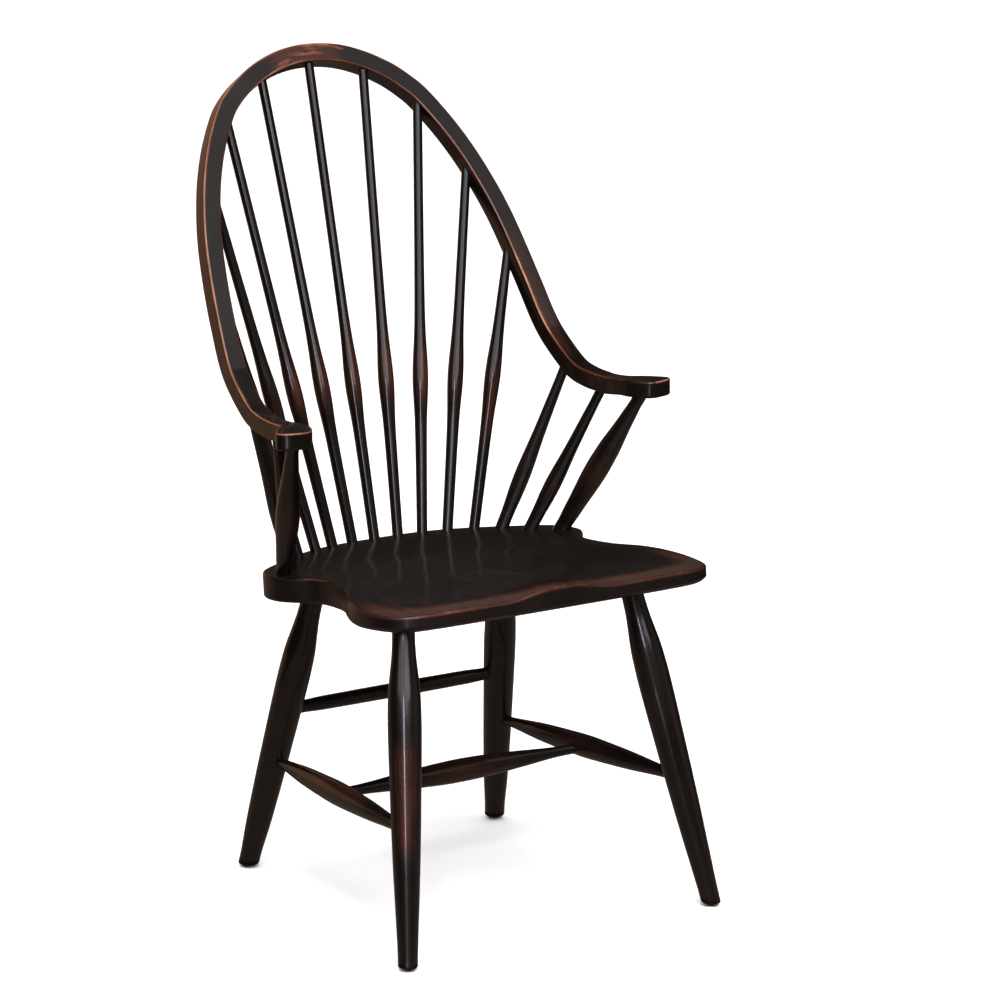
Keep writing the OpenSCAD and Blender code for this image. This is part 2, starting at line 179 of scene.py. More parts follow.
def make(name, node, verts, faces, wood, wear, thin, uv=None, material="painted_wood", flat=35.0):
    """verts in millimetres of the construction, faces as lists of indices, uv as one pair for each corner of each face."""
    verts = np.asarray(verts, float)
    key = np.round(verts, 4)
    _, first, back = np.unique(key, axis=0, return_index=True, return_inverse=True)
    back = back.ravel()
    order = np.sort(first)
    rank = {int(f): n for n, f in enumerate(order)}
    remap = np.array([rank[int(first[b])] for b in back])
    out, corner = [], []
    for k, f in enumerate(faces):
        ids = [int(remap[i]) for i in f]
        keep = [c for c in range(len(ids)) if ids[c] != ids[c - 1]]
        if len(keep) >= 3 and len({ids[c] for c in keep}) == len(keep):
            out.append([ids[c] for c in keep])
            if uv is not None:
                corner.extend(uv[k][c] for c in keep)
    pts = (verts[order] + np.array([0, Y_MID, GLIDE])) / 1000.0
    me = bpy.data.meshes.new(name)
    me.from_pydata(pts.tolist(), [], out)
    me.update()
    for label, kind, data, width in (("wood", "FLOAT_VECTOR", wood, 3), ("wear", "FLOAT", wear, 1), ("thin", "FLOAT", thin, 1)):
        data = np.asarray(data, np.float32)[order]
        at = me.attributes.new(label, kind, "POINT")
        at.data.foreach_set("vector" if width == 3 else "value", data.ravel())
    if uv is not None:
        layer = me.uv_layers.new(name="OFBake")
        layer.data.foreach_set("uv", np.asarray(corner, np.float32).ravel())
    me.shade_smooth()
    me.set_sharp_from_angle(angle=math.radians(flat))
    ob = bpy.data.objects.new(name, me)
    bpy.context.scene.collection.objects.link(ob)
    me.materials.append(MATERIALS[material])
    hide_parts(node)
    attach(ob, "root")
    PIECES.append(ob)
    return ob


def tube_faces(n, m, cap_a=True, cap_b=True, folds=1):
    """Faces of a grid of n rows of m points that closes round, with the places of their corners on a map that is folded into strips."""
    faces, uv = [], []
    gap = 0.006
    per = -(-(n - 1) // folds)
    for i in range(n - 1):
        k = i // per
        a, b = (i - k * per) / per, (i + 1 - k * per) / per
        v0, v1 = gap + a * (0.94 - 2 * gap), gap + b * (0.94 - 2 * gap)
        for j in range(m):
            q = (j + 1) % m
            faces.append((i * m + j, i * m + q, (i + 1) * m + q, (i + 1) * m + j))
            u0 = (k + gap * 1.5 + j / m * (1 - 3 * gap)) / folds
            u1 = (k + gap * 1.5 + (j + 1) / m * (1 - 3 * gap)) / folds
            uv.append(((u0, v0), (u1, v0), (u1, v1), (u0, v1)))
    for on, row, sign, place in ((cap_a, 0, -1, 0.25), (cap_b, n - 1, 1, 0.75)):
        if on:
            ring = [row * m + j for j in range(m)][::sign]
            faces.append(tuple(ring))
            uv.append(tuple((place + 0.02 * math.cos(2 * math.pi * j / m), 0.97 + 0.02 * math.sin(2 * math.pi * j / m)) for j in range(m)))
    return faces, uv


# ---- turned pieces ----
def smooth_profile(P, step=2.5):
    d, r = [], []
    P = [(float(a), float(b)) for a, b in P]
    n = len(P)
    slope = [0.0] + [(P[k + 1][1] - P[k - 1][1]) / (P[k + 1][0] - P[k - 1][0]) for k in range(1, n - 1)] + [0.0]
    for k in range(n - 1):
        w = P[k + 1][0] - P[k][0]
        c = max(2, int(math.ceil(w / step)))
        for i in range(c):
            t = i / c
            h = (2 * t ** 3 - 3 * t ** 2 + 1) * P[k][1] + (t ** 3 - 2 * t ** 2 + t) * w * slope[k] \
                + (3 * t ** 2 - 2 * t ** 3) * P[k + 1][1] + (t ** 3 - t ** 2) * w * slope[k + 1]
            d.append(P[k][0] + w * t)
            r.append(h / 2)
    return d + [P[-1][0]], r + [P[-1][1] / 2]


def turned(name, a, b, P, ta, tb, seed, seg=40, rub=0.5, worn=0.12, step=2.5, spot=None, foot=None, material="painted_wood"):
    """A turned piece from a to b. spot(d, angle, share) adds to its wear and thinness; foot cuts its far end level."""
    a, b = np.asarray(a, float), np.asarray(b, float)
    L = float(np.linalg.norm(b - a))
    ax = (b - a) / L
    ref = np.array([0, -1, 0.0]) if abs(ax[1]) < 0.8 else np.array([0, 0, 1.0])
    e1 = unit(ref - ref.dot(ax) * ax)
    e2 = np.cross(ax, e1)
    d, r = smooth_profile(P, step)
    lead = list(np.linspace(-ta, d[0], 4))[:-1]
    d, r = lead + d, [r[0]] * 3 + r
    if foot is None:
        tail = list(np.linspace(d[-1], L + tb, 4))[1:]
        d, r = d + tail, r + [r[-1]] * 3
    d, r = np.array(d), np.array(r)
    n = len(d)
    th = np.arange(seg) / seg * 2 * math.pi
    rng = np.random.default_rng(seed)
    # a turned piece is never quite round or straight
    wob = 1 + 0.004 * fbm(np.stack([np.repeat(d[:, None] / 45, seg, 1), np.cos(th)[None] * 0.7 + d[:, None] * 0, np.sin(th)[None] * 0.7 + d[:, None] * 0 + seed], -1), seed)
    R = r[:, None] * wob
    D = np.repeat(d[:, None], seg, 1)
    if foot is not None:
        # the last part of the leg is sheared so that it ends level
        up = 3.0
        zt = (foot[2] + up - a[2])
        cr_, sr_ = np.cos(th), np.sin(th)
        for j in range(seg):
            tilt = (e1[2] * cr_[j] + e2[2] * sr_[j])
            end = (zt - r[-1] * tilt) / ax[2]
            start = L - 80
            far = D[:, j] > start
            D[far, j] = start + (D[far, j] - start) * (end - start) / (d[-1] - start)
    pts = a + D[..., None] * ax + R[..., None] * (np.cos(th)[None, :, None] * e1 + np.sin(th)[None, :, None] * e2)
    rr = np.repeat(r[:, None], seg, 1)
    if foot is not None:
        rim_ = pts[-1].copy()
        c = rim_.mean(0)
        extra = []
        for k in range(1, 6):
            g = k / 5 * math.pi / 2
            ring = rim_.copy()
            out = rim_ - c
            out[:, 2] = 0
            ln = np.linalg.norm(out, axis=1, keepdims=True)
            lean = (ax[:2] / ax[2]) * (-(up * math.sin(g)))
            ring = c + out / ln * (ln - 2.6 * (1 - math.cos(g)))
            ring[:, :2] += lean[None]
            ring[:, 2] = foot[2] + up - up * math.sin(g)
            extra.append(ring)
        pts = np.concatenate([pts, np.stack(extra)])
        D = np.concatenate([D, np.repeat(D[-1:], 5, 0) + np.arange(1, 6)[:, None] * 0.8])
        rr = np.concatenate([rr, np.repeat(rr[-1:], 5, 0)])
        n += 5
    big, small = max(r), min(r[2:-2])
    share = (rr - small) / max(big - small, 1e-6)
    T = np.repeat(th[None], n, 0)
    off = rng.uniform(-40, 40, 3)
    wood = np.stack([D / 1000 + off[0] * 0.1, rr * np.cos(T) / 1000 + off[1] * 0.01, rr * np.sin(T) / 1000 + off[2] * 0.01], -1)
    blot = fbm(np.stack([D / 55, np.cos(T) * 1.1 + off[0], np.sin(T) * 1.1 + off[1]], -1), seed + 5)
    thin = rub * ease((share - 0.55) / 0.45) * (0.75 + 0.6 * blot)
    wear = worn * ease((share - 0.8) / 0.2) * (0.6 + 0.9 * blot)
    if spot is not None:
        w2, t2 = spot(D, T, L)
        wear, thin = wear + w2, thin + t2
    if foot is not None:
        z = pts[..., 2]
        wear = np.maximum(wear, 0.55 * ease((4.5 - z) / 4.0))
    faces, uv = tube_faces(n, seg, folds=max(1, round(math.sqrt(L / (2 * math.pi * big)))))
    return make(name, name, pts.reshape(-1, 3), faces, wood.reshape(-1, 3), wear.ravel(), thin.ravel(), uv, material=material)


# ---- places and profiles of the turned pieces, as in the construction ----
SP_D, SP_TOP, SP_FOOT, SWELL = 22.0, 13.0, 15.0, 642.0
SH_D, SH_FOOT, SH_TOP = 22.5, 18.0, 13.5
PO_D, PO_TOP, PO_FOOT = 32.5, 17.5, 21.5
LEG_D, LEG_TOP, LEG_FOOT = 44.5, 30.0, 26.0
ST_D, ST_END, ST_BACK = 32.0, 14.0, 20.5
BACK_SEAT = [(0, 232), (36.5, 230), (72, 223.5), (105.5, 211), (141, 198)]
BACK_BOW = [(0, 399.5, 1080.5), (81, 389, 1065), (152.5, 361, 1018), (203.5, 314, 934), (233.5, 251, 831)]
LOW = [(-140, 0.07), (-100, 0.16), (-70, 0.26), (-50, 0.41), (-30, 0.69), (-17, 0.89)]
HIGH = [(12, 0.95), (22, 0.87), (32, 0.74), (42, 0.6), (53, 0.47), (65, 0.36), (80, 0.26), (100, 0.18), (140, 0.11), (190, 0.05)]


def leg_line(foot, lean, z):
    return np.array([foot[0] + lean[0] * z, foot[1] + lean[1] * z, foot[2] + z], float)


def back_profile(a, b):
    L = float(np.linalg.norm(b - a))
    k, z0 = L / (b[2] - a[2]), SWELL - a[2]
    out = [(10, SP_FOOT)]
    out += [((z0 + p) * k, lerp(SP_FOOT, SP_D, q)) for p, q in LOW if (z0 + p) * k > 30]
    out += [(z0 * k, SP_D)]
    out += [((z0 + p) * k, lerp(SP_TOP, SP_D, q)) for p, q in HIGH if (z0 + p) * k < L - 70]
    return out + [(L - 34, SP_TOP)]


def short_profile(L):
    t, f, s = SH_TOP, SH_FOOT, SH_D
    return [(p * L, q) for p, q in ((0.05, f), (0.12, f + 0.8), (0.22, lerp(f, s, 0.8)), (0.31, s), (0.38, s - 1), (0.47, lerp(t, s, 0.63)),
                                    (0.56, lerp(t, s, 0.4)), (0.7, lerp(t, s, 0.2)), (0.82, t + 0.5), (0.86, t))]


def post_profile(L):
    t, f, s = PO_TOP, PO_FOOT, PO_D
    return [(p * L, q) for p, q in ((0.05, f), (0.12, lerp(f, s, 0.22)), (0.2, lerp(f, s, 0.4)), (0.28, lerp(f, s, 0.66)), (0.37, s - 1),
                                    (0.45, s), (0.52, s - 0.8), (0.6, lerp(t, s, 0.8)), (0.68, lerp(t, s, 0.54)), (0.76, lerp(t, s, 0.3)),
                                    (0.84, lerp(t, s, 0.12)), (0.9, t))]


def leg_profile(L, foot):
    t, s = LEG_TOP, LEG_D
    return [(8, t), (28, t + 0.3), (48, lerp(t, s, 0.15)), (65, lerp(t, s, 0.39)), (82, lerp(t, s, 0.66)), (98, lerp(t, s, 0.86)),
            (118, s - 0.6), (140, s), (170, s - 0.8), (205, lerp(foot, s, 0.87)), (245, lerp(foot, s, 0.77)), (285, lerp(foot, s, 0.66)),
            (325, lerp(foot, s, 0.52)), (365, lerp(foot, s, 0.34)), (L - 20, foot + 0.8), (L, foot)]


def side_profile(L):
    e, s = ST_END, ST_D
    return [(p * L, q) for p, q in ((0.07, e), (0.13, e + 2.8), (0.25, lerp(e, s, 0.6)), (0.4, s - 2), (0.5, s), (0.6, s - 2),
                                    (0.75, lerp(e + 2, s, 0.55)), (0.87, e + 4.2), (0.93, e + 2))]


def middle_profile(L):
    e, s = ST_END, ST_D
    return [(p * L, q) for p, q in ((0.07, e), (0.14, e + 2.2), (0.27, lerp(e, s, 0.55)), (0.41, s - 1.6), (0.5, s), (0.59, s - 1.6),
                                    (0.73, lerp(e, s, 0.55)), (0.86, e + 2.2), (0.93, e))]


def plain_profile(L):
    s = ST_BACK
    return [(p * L, q) for p, q in ((0.08, s - 3), (0.16, s - 1), (0.5, s), (0.84, s - 1), (0.92, s - 3))]


REAR_A, REAR_B = on_rim(169, 171), np.array([253, 131.5, 679.0])
FRONT_A, FRONT_B = on_rim(191, 133), np.array([258, 50, 658.0])
POST_A, POST_B = on_rim(220.5, 100), np.array([274.5, -21, 660.0])
F_FOOT, F_LEAN = (239, -240, 0), (-0.145, 0.253)
B_FOOT, B_LEAN = (201, 240, 0), (-0.126, -0.247)


def meet_z(foot, lean):
    return under(foot[1]) / (1 + lean[1] * math.tan(TILT))


F_TOP = leg_line(F_FOOT, F_LEAN, meet_z(F_FOOT, F_LEAN))
B_TOP = leg_line(B_FOOT, B_LEAN, meet_z(B_FOOT, B_LEAN))
SIDE_F, SIDE_B = leg_line(F_FOOT, F_LEAN, 169.5), leg_line(B_FOOT, B_LEAN, 157)
MID_R = lerp(SIDE_B, SIDE_F, 0.477) - np.array([0, 0, 3.2])
REAR_R = leg_line(B_FOOT, B_LEAN, 230.2)


# ---- bow ----
ARC = [0, 15, 30, 45, 60, 75, 90]
FLAT_TOP, FLAT_SIDE = 8, 6


def bow_section(O, I, nO, nI, up, hO, hI, r):
    """Points of one row and, for each, its share of the way over its corner (-1 on the flats) and its corner's number."""
    out, cor = [], []

    def arc(P, n, h, sign, rising, num):
        for a in (ARC if rising else ARC[::-1]):
            g = math.radians(a)
            out.append(P - n * (r - r * math.cos(g)) + up * sign * (h / 2 - r + r * math.sin(g)))
            cor.append((a / 90.0, num))

    def run(A, B, k):
        for i in range(1, k + 1):
            out.append(lerp(A, B, i / (k + 1)))
            cor.append((-1, -1))

    arc(O, nO, hO, 1, True, 0)
    run(O - nO * r + up * hO / 2, I - nI * r + up * hI / 2, FLAT_TOP)
    arc(I, nI, hI, 1, False, 1)
    run(I + up * (hI / 2 - r), I - up * (hI / 2 - r), FLAT_SIDE)
    arc(I, nI, hI, -1, True, 2)
    run(I - nI * r - up * hI / 2, O - nO * r - up * hO / 2, FLAT_TOP)
    arc(O, nO, hO, -1, False, 3)
    run(O - up * (hO / 2 - r), O + up * (hO / 2 - r), FLAT_SIDE)
    return np.array(out), cor


def spline(pts, n, power=1.0):
    """n points at even distances on a smooth curve through pts, and the curve's directions at them in plan."""
    pts = np.asarray(pts, float)
    fine = []
    for i in range(len(pts) - 1):
        p0 = pts[max(i - 1, 0)] if i else 2 * pts[0] - pts[1]
        p3 = pts[i + 2] if i + 2 < len(pts) else 2 * pts[-1] - pts[-2]
        for t in np.linspace(0, 1, 40, endpoint=False):
            # centripetal form, which doesn't overshoot where the points lie unevenly
            a, b = pts[i], pts[i + 1]
            t01, t12, t23 = [max(np.linalg.norm(x) ** 0.5, 1e-6) for x in (a - p0, b - a, p3 - b)]
            m1 = (b - a) + t12 * ((a - p0) / t01 - (b - p0) / (t01 + t12))
            m2 = (b - a) + t12 * ((p3 - b) / t23 - (p3 - a) / (t12 + t23))
            fine.append((2 * t ** 3 - 3 * t ** 2 + 1) * a + (t ** 3 - 2 * t ** 2 + t) * m1 + (3 * t ** 2 - 2 * t ** 3) * b + (t ** 3 - t ** 2) * m2)
    fine.append(pts[-1])
    fine = np.array(fine)
    s = np.concatenate([[0], np.cumsum(np.linalg.norm(np.diff(fine, axis=0), axis=1))])
    want = s[-1] * (np.linspace(0, 1, n) ** power)
    P = np.stack([np.interp(want, s, fine[:, k]) for k in range(2)], 1)
    e = 0.4
    A = np.stack([np.interp(np.clip(want - e, 0, s[-1]), s, fine[:, k]) for k in range(2)], 1)
    B = np.stack([np.interp(np.clip(want + e, 0, s[-1]), s, fine[:, k]) for k in range(2)], 1)
    T = B - A
    T /= np.linalg.norm(T, axis=1, keepdims=True)
    return P, T


HAND_IN = [(60, -13), (40, -13.1), (20, -13.6), (0, -13.9), (-20, -12.6), (-34, -7.6), (-44, -1.7), (-48.5, 2.5), (-50.5, 5.8), (-51.4, 9), (-51.6, 11)]
HAND_OUT = [(60, 13), (44, 13.1), (33, 13.2), (24, 13.7), (13, 15.4), (5, 19.8), (-7, 29.5), (-19, 38.5), (-30, 44.6), (-35, 45.3), (-39.8, 43), (-44, 38),
            (-47.4, 31), (-49.6, 23.5), (-51, 17), (-51.6, 11)]


def arm_x(y):
    return lerp(258, 260, (46 - y) / 60)


def hand(y):
    return float(ease((40 - y) / 50))


def arm_z(y):
    return np.interp(y, [-49, 10, 46, 60], [661, 659, 658, 658.6]) + 3.6 * hand(y)


def build_bow():
    rows, cors, along = [], [], []
    V = np.linspace(0, 16.45, 198)
    s, last = 0.0, None
    for v in V:
        p, t, n = bow_at(v), bow_dir(v), bow_up(v)
        b = np.cross(t, n)
        row, cor = bow_section(p - b * BOW_W / 2, p + b * BOW_W / 2, -b, b, n, bow_h(v), bow_h(v), BOW_EDGE)
        if last is not None:
            s += float(np.linalg.norm(p - last))
        last = p
        rows.append(row)
        cors.append(cor)
        along.append(s)
    k = 74
    I, TI = spline([(arm_x(y) + w, y) for y, w in HAND_IN], k)
    O, TO = spline([(arm_x(y) + w, y) for y, w in HAND_OUT], k)
    nI = np.stack([TI[:, 1], -TI[:, 0]], 1)   # the direction is -y: its right hand is -x, the inside
    nO = np.stack([-TO[:, 1], TO[:, 0]], 1)
    nI[-1] = nO[-1] = (0, -1)
    up = np.array([0, 0, 1.0])
    for q in range(1, k):
        zi, zo = float(arm_z(I[q][1])), float(arm_z(O[q][1]))
        row, cor = bow_section(np.array([O[q][0], O[q][1], zo]), np.array([I[q][0], I[q][1], zi]),
                               np.array([nO[q][0], nO[q][1], 0]), np.array([nI[q][0], nI[q][1], 0]), up,
                               *(lerp(lerp(bow_h(16.45), ARM_T, q / (k - 1)), HAND_T, hand(w[q][1])) for w in (O, I)), BOW_EDGE)
        rows.append(row)
        cors.append(cor)
        along.append(s + q * 1.75)
    return np.array(rows), cors[0], np.array(along), len(V)


def bow_piece():
    half, cor, along, cut = build_bow()
    n, m = half.shape[:2]
    left = half[:0:-1] * np.array([-1, 1, 1])
    rows = np.concatenate([left, half])
    S = np.concatenate([-along[:0:-1], along])
    N = len(rows)
    num = np.array([c[1] for c in cor])
    mid = [int(np.where((num == c) & (np.abs(np.array([x[0] for x in cor]) - 0.5) < 0.01))[0][0]) for c in range(4)]
    step = np.linalg.norm(np.roll(rows, -1, 1) - rows, axis=2)
    pos = np.concatenate([np.zeros((N, 1)), np.cumsum(step, 1)], 1)
    total = pos[:, -1:]
    pos = pos[:, :-1]
    Sg = np.repeat(S[:, None], m, 1)
    wear = np.zeros((N, m))
    thin = np.zeros((N, m))
    # worn lines along the four edges: front outer, front inner, back inner, back outer; the strongest, along the front
    # edges, reach the pale colour, which is partly bared wood and partly a painted highlight of the rounded edge
    for c, (base, vary, size, wide) in enumerate(((1.16, 0.34, 60, 1.9), (0.88, 0.40, 80, 1.6), (0.30, 0.34, 80, 1.5), (0.46, 0.34, 80, 1.6))):
        d = np.abs(pos - pos[:, mid[c]][:, None])
        d = np.minimum(d, total - d)
        amount = base + vary * line_noise(S, 3 + c, size)
        amount = np.where(np.abs(S) < 26, amount * 0.9, amount)
        # the arms are rubbed less along the edge that faces the sitter on the right, and the hands least
        amount = amount * (1 - 0.56 * ease((np.abs(S) - 1125) / 30)) * (1 - (0.24 if c == 0 else 0.0) * ease((-S - 760) / 120)) * (1 - (0.45 if c == 1 else 0.0) * ease((S - 620) / 160))
        wear += amount[:, None] * np.exp(-(d / wide) ** 2)
        thin += 0.35 * np.exp(-(d / 5.0) ** 2)
    # how far over the front face, from its outer edge (0) to its inner one (1), and whether on it at all
    a, b = pos[:, mid[0]][:, None], pos[:, mid[1]][:, None]
    over = (pos - a) / (b - a)
    front = ((over > -0.05) & (over < 1.05)).astype(float)
    b3 = pos[:, mid[3]][:, None]
    side = np.clip((pos - b3) / (total - b3 + a), 0, 1) * (pos > b3)
    outer = ((pos > b3) & (over < 0)).astype(float) + ((pos > b3)).astype(float) * 0
    blot = fbm(np.stack([Sg / 30, over * 2.0, Sg * 0 + 7.3], -1), 11)
    # rub at the top of the back, left of the middle, and one on the right where the back turns down to the arm
    brush = fbm(np.stack([Sg / 24, over * 4.2, Sg * 0 + 2.9], -1), 17)
    fine = fbm(np.stack([Sg / 15, over * 13, Sg * 0 + 5.5], -1), 19)
    low = np.interp(S, [-78, -58, -42, -23, -2, 19, 36], [0.97, 0.90, 0.76, 0.66, 0.66, 0.55, 0.50])[:, None]
    high = np.interp(S, [-24, 3, 27, 52, 76], [0.17, 0.11, 0.16, 0.28, 0.36])[:, None]
    wear += front * np.exp(-((over - low) / 0.19) ** 2) * band(Sg, -84, 30, 16) * np.clip(0.52 + 0.66 * fine + 0.35 * brush, 0, 0.64)
    wear += front * np.exp(-((over - high) / 0.11) ** 2) * band(Sg, -24, 62, 16) * np.clip(0.54 + 0.55 * fine + 0.35 * brush, 0, 0.66)
    wear += front * band(Sg, -70, 48, 24) * np.clip(0.14 + 0.60 * brush + 0.30 * fine, 0, 0.5)
    wear += outer * 0.26 * band(Sg, -160, 95, 50) * (0.8 + 0.8 * blot)
    thin += front * 1.6 * band(Sg, -86, 62, 40) + outer * 1.0 * band(Sg, -190, 120, 60)
    wear += front * 0.18 * band(Sg, 418, 585, 50) * ease((over - 0.30) / 0.6) * (0.8 + 0.9 * blot)
    wear += front * 0.62 * band(Sg, 425, 590, 45) * np.exp(-((over - 0.95) / 0.13) ** 2) * (0.85 + 0.7 * fine)
    thin += front * 1.1 * band(Sg, 380, 640, 60) * ease((over - 0.05) / 0.6)
    thin += front * 0.5 * band(Sg, 640, 1100, 90) * ease((over - 0.35) / 0.5)
    thin += front * 0.35 * band(Sg, -1000, -560, 90) * ease((over - 0.2) / 0.5)
    thin += outer * (0.28 + 0.30 * ease((-Sg - 300) / 300))
    off = np.array([0.7, 0.02, 0.05])
    across = pos - pos[:, mid[0]][:, None]
    ring = 2 * math.pi * (pos / total)
    wood = np.stack([Sg / 1000, np.cos(ring) * 0.017, np.sin(ring) * 0.017], -1) + off
    faces, uv = tube_faces(N, m, cap_a=False, cap_b=False, folds=5)
    return make("bow", "bow", rows.reshape(-1, 3), faces, wood.reshape(-1, 3), wear.ravel(), thin.ravel(), uv)


# ---- seat ----
def seat_piece():
    steps = 10
    half = np.array([curve(EDGE, 1 + i / steps) for i in range((len(EDGE) - 3) * steps + 1)])
    outline = np.concatenate([half, half[-2:0:-1] * np.array([-1, 1])])
    on = len(outline)
    t = np.roll(outline, -1, 0) - np.roll(outline, 1, 0)
    t /= np.linalg.norm(t, axis=1, keepdims=True)
    inward = np.stack([t[:, 1], -t[:, 0]], 1)
    c = np.array([0.0, -10.0])
    fore = ease((-outline[:, 1] - 120) / 95)
    fore_top = ease((-outline[:, 1] - 65) / 145)

    def drop(p, s):
        side = 1 - ease((s - 0.50) / 0.42)
        edge = ease((s - 0.86) / 0.14)
        lift = ROLL * (ease((s - 0.55) / 0.31) - edge)
        hump = np.exp(-(np.abs(p[:, 0]) / 55) ** 3) * ease((-p[:, 1] - 10) / 130)
        return lerp(DISH * side, DISH - 0.4 * edge - lift, fore_top) - POMMEL * hump

    rings, kind, share = [], [], []

    def ring(xy, z, k, s):
        rings.append(np.column_stack([xy, np.broadcast_to(z, on)]))
        kind.append(k)
        share.append(s)

    low = outline + inward * (3 + 8 * fore)[:, None]
    for s in np.linspace(0.04, 0.97, 16):
        ring(c + s * (low - c), -SEAT_T, 0, s)
    rise = 2.5 + 5 * fore
    for k in range(7):
        g = k / 6 * math.pi / 2
        # an eased edge that stays close to the straight one of the construction
        f, h = lerp(math.sin(g) ** 1.0, k / 6, 0.55), lerp(1 - math.cos(g), k / 6, 0.55)
        ring(low + (outline - low) * f, -SEAT_T + rise * h, 1, 1.0)
    top = -drop(outline, 1.0)
    lo_wall, hi_wall = -SEAT_T + rise, top - SEAT_EDGE_R
    for k in range(1, 9):
        ring(outline, lerp(lo_wall, hi_wall, k / 9), 2, 1.0)
    for k in range(0, 8):
        g = k / 7 * math.pi / 2
        m = SEAT_EDGE_R * (1 - math.cos(g))
        ring(outline + inward * m, top - SEAT_EDGE_R * (1 - math.sin(g)), 3, k / 7)
    reach = np.linalg.norm(outline - c, axis=1)
    s0 = 1 - SEAT_EDGE_R / reach
    for s in np.concatenate([np.linspace(0.994, 0.80, 34), np.linspace(0.79, 0.03, 62)]):
        sc = s * s0
        p = c + sc[:, None] * (outline - c)
        # the rounding starts from the inset line, so the flow is kept there
        near = ease((s - 0.9) / 0.1)
        q = outline + inward * SEAT_EDGE_R
        p = lerp(p, c + s * (q - c), near)
        ring(p, -drop(p, sc), 4, s)
    R = np.array(rings)
    # a hand-carved surface isn't quite even
    carve = 0.22 * fbm(np.stack([R[..., 0] / 42, R[..., 1] / 62, R[..., 0] * 0 + 0.5], -1), 5) * (np.array(kind) == 4)[:, None]
    R[..., 2] += np.minimum(carve - 0.05, 0.0) + np.maximum(carve - 0.05, 0) * 0.0
    n = len(R)
    flat = R.copy()
    ct, st = math.cos(-TILT), math.sin(-TILT)
    R = np.stack([R[..., 0], R[..., 1] * ct - R[..., 2] * st, R[..., 1] * st + R[..., 2] * ct + SEAT_H], -1)
    faces, uv = [], []
    kinds = np.array(kind)
    walls = [k for k in range(n) if kinds[k] in (1, 2, 3)]
    w0, w1 = walls[0], walls[-1]

    def place(k, i):
        """A corner's place on the map: the top in one square, the underside in a small one, the sides in a strip folded in three."""
        p = flat[k, i % on]
        x, y = (p[0] + 256) / 512, (p[1] + 256) / 512
        return x, y

    def uv_face(k, i):
        j = i + 1
        if k >= w1:
            return tuple((0.01 + 0.73 * x, 0.01 + 0.73 * y) for x, y in (place(k, i), place(k + 1, i), place(k + 1, j), place(k, j)))
        if k < w0:
            return tuple((0.76 + 0.23 * x, 0.01 + 0.23 * y) for x, y in (place(k, i), place(k + 1, i), place(k + 1, j), place(k, j)))
        third = on / 3
        f = int(i // third)
        u0, u1 = (i - f * third) / third, (j - f * third) / third
        v0, v1 = (k - w0) / (w1 - w0), (k + 1 - w0) / (w1 - w0)
        return tuple((0.01 + 0.97 * u, 0.765 + 0.078 * (f + 0.02 + 0.93 * v)) for u, v in ((u0, v0), (u0, v1), (u1, v1), (u1, v0)))

    for k in range(n - 1):
        for i in range(on):
            j = (i + 1) % on
            faces.append((k * on + i, (k + 1) * on + i, (k + 1) * on + j, k * on + j))
            uv.append(uv_face(k, i))
    faces.append(tuple(range(on)))
    uv.append(tuple((0.76 + 0.23 * x, 0.01 + 0.23 * y) for x, y in (place(0, i) for i in range(on))))
    faces.append(tuple((n - 1) * on + i for i in range(on - 1, -1, -1)))
    uv.append(tuple((0.01 + 0.73 * x, 0.01 + 0.73 * y) for x, y in (place(n - 1, i) for i in range(on - 1, -1, -1))))
    K = np.repeat(kinds[:, None], on, 1)
    SH = np.repeat(np.array(share)[:, None], on, 1)
    F = np.repeat(fore[None], n, 0)
    X, Y = flat[..., 0], flat[..., 1]
    run = np.concatenate([[0], np.cumsum(np.linalg.norm(np.diff(outline, axis=0), axis=1))])
    RUN = np.repeat(run[None], n, 0)
    nz = fbm(np.stack([RUN / 60, SH * 0, SH * 0 + 3.1], -1), 21)
    wear, thin = np.zeros((n, on)), np.zeros((n, on))
    # top edge all round, most of all at the front and round the two notches
    notch = band(np.abs(Y - 5), -1, 75, 30) * 0.18
    arc = (K == 3) * np.exp(-((SH - 0.62) / 0.36) ** 2)
    wear += arc * (0.31 + 0.13 * F + notch + 0.26 * nz)
    wear += (K == 4) * np.exp(-((1 - SH) / 0.010) ** 2) * (0.12 + 0.12 * F)
    # rolled band along the front
    FT = np.repeat(fore_top[None], n, 0)
    FT = np.where(X < 0, ease((-Y - 105) / 95), FT)
    roll = ((K == 4) * ease((SH - 0.835 - 0.07 * np.exp(-(np.abs(X) / 62) ** 3)) / 0.11) + (K == 3)) * FT
    fb = fbm(np.stack([X / 38, Y / 38, X * 0], -1), 31)
    wear += roll * (0.02 + 0.10 * fb + 0.10 * ease((-X - 130) / 60))
    thin += roll * np.where(K == 4, 3.3, 1.8) + roll * 0.7 * fb
    # lower edge, and the sides in the notches
    wear += (K == 1) * (0.12 + 0.2 * nz)
    thin += (K == 2) * (0.20 + 0.25 * nz)
